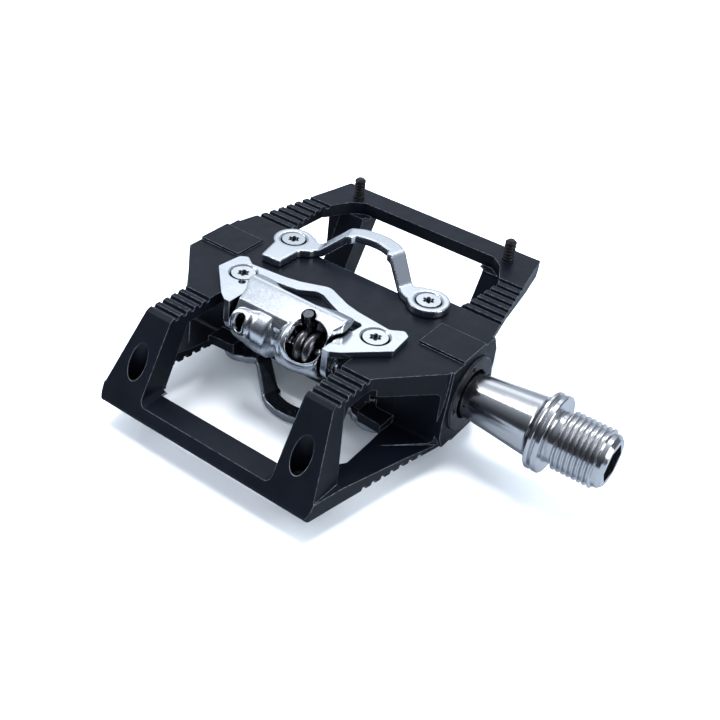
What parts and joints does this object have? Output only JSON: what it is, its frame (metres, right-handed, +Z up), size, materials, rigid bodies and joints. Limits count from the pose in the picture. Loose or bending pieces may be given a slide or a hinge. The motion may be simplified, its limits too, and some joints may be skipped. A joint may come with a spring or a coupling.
{
  "type": "clipless bicycle pedal",
  "caption": "Platform-framed clipless bicycle pedal with a spring-loaded cleat binding on both faces and a threaded axle stub.",
  "frame": {"origin": "on the axle's axis, in the plane of the flange face that seats on the crank arm", "axes": "+X along the axle towards the crank, +Y forwards when the upper binding is in use, +Z up"},
  "size_m": [0.1156, 0.0978, 0.0358],
  "materials": {
    "anodised_body": "satin black anodised",
    "black_alloy": "satin black anodised",
    "black_steel": "black oxide",
    "axle_steel": "turned and polished",
    "collar_alloy": "black anodised, turned",
    "seal_rubber": "soft black",
    "bush_polymer": "filled polymer",
    "bearing_steel": "ground",
    "cage_polymer": "natural polymer",
    "zinc_steel": "bright zinc plate",
    "spring_steel": "drawn wire",
    "bright_plate": "bright nickel plate",
    "bright_claw": "bright nickel plate over a cast surface"
  },
  "bodies": {
    "spindle": {"axle": "axle_steel", "bearing_inner_race": "bearing_steel", "thrust_washer": "bearing_steel", "lock_nut": "axle_steel"},
    "platform": {"pedal_body": "anodised_body", "traction_pins": "black_steel", "bearing_collar": "collar_alloy", "axle_seal": "seal_rubber", "inboard_bush": "bush_polymer", "bearing_outer_race": "bearing_steel", "bearing_shields": "bearing_steel", "end_cap": "black_alloy", "cap_o_ring": "seal_rubber", "front_hoop_top": "bright_plate", "front_hoop_bottom": "bright_plate", "hoop_screws": "zinc_steel", "rear_plate_top": "bright_plate", "rear_plate_bottom": "bright_plate", "plate_screws": "zinc_steel", "claw_pin_top": "zinc_steel", "claw_pin_bottom": "zinc_steel"},
    "ball_set": {"bearing_balls": "bearing_steel", "bearing_cage": "cage_polymer"},
    "top_claw": {"claw_top": "bright_claw", "claw_spring_top": "spring_steel"},
    "bottom_claw": {"claw_bottom": "bright_claw", "claw_spring_bottom": "spring_steel"}
  },
  "joints": [
    {"name": "pedal_spin", "type": "hinge", "parent": "spindle", "child": "platform", "pos_m": [-0.062, 0, 0], "axis": [1, 0, 0], "continuous": true},
    {"name": "ball_orbit", "type": "hinge", "parent": "spindle", "child": "ball_set", "pos_m": [-0.0905, 0, 0], "axis": [1, 0, 0], "continuous": true},
    {"name": "top_claw_hinge", "type": "hinge", "parent": "platform", "child": "top_claw", "pos_m": [-0.062, -0.0195, 0.007], "axis": [1, 0, 0], "range_deg": [0, 15], "stiffness_Nm_per_rad": 2, "springref_deg": -14.32, "deforming": ["claw_spring_top"]},
    {"name": "bottom_claw_hinge", "type": "hinge", "parent": "platform", "child": "bottom_claw", "pos_m": [-0.062, 0.0195, -0.007], "axis": [1, 0, 0], "range_deg": [0, 15], "stiffness_Nm_per_rad": 2, "springref_deg": -14.32, "deforming": ["claw_spring_bottom"]}
  ],
  "couplings": [
    {"joint": "ball_orbit", "follows": "pedal_spin", "ratio": 0.6}
  ]
}
